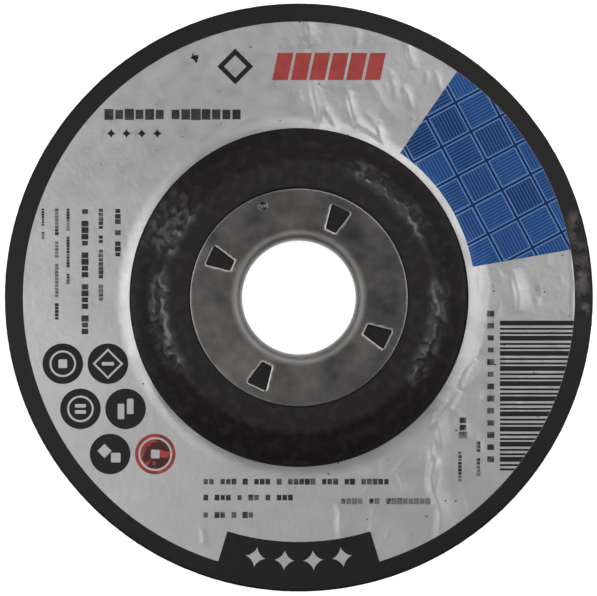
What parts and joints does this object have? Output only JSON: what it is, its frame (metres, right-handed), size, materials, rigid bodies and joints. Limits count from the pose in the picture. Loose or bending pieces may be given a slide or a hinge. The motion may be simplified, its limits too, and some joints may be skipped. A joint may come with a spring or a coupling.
{
  "type": "grinding disc",
  "caption": "Depressed-centre grinding disc of resin-bonded abrasive, with a pressed steel ring in its bore and a printed metallic paper label on its back.",
  "frame": {"origin": "centre of the bore in the plane of the grinding face, which the disc lies on", "axes": "+Z along the bore from the grinding face towards the label and the raised hub, +Y towards the top of the label, +X towards its right"},
  "size_m": [0.115, 0.115, 0.0102],
  "materials": {
    "bonded_abrasive": "coarse resin-bonded grain, matte, near black",
    "ring_steel": "dark pressed sheet steel, satin, bright sheared edges",
    "label_paper": "metallic grey printed paper, satin, creased",
    "black_ink": "black print, satin",
    "blue_ink": "blue print, satin",
    "red_ink": "red print, satin"
  },
  "bodies": {
    "root": {"abrasive_body": "bonded_abrasive", "center_ring": "ring_steel", "paper_label": "label_paper", "border_print": "black_ink", "dark_print": "black_ink", "text_print": "black_ink", "blue_panel_print": "blue_ink", "red_print": "red_ink"}
  },
  "joints": []
}
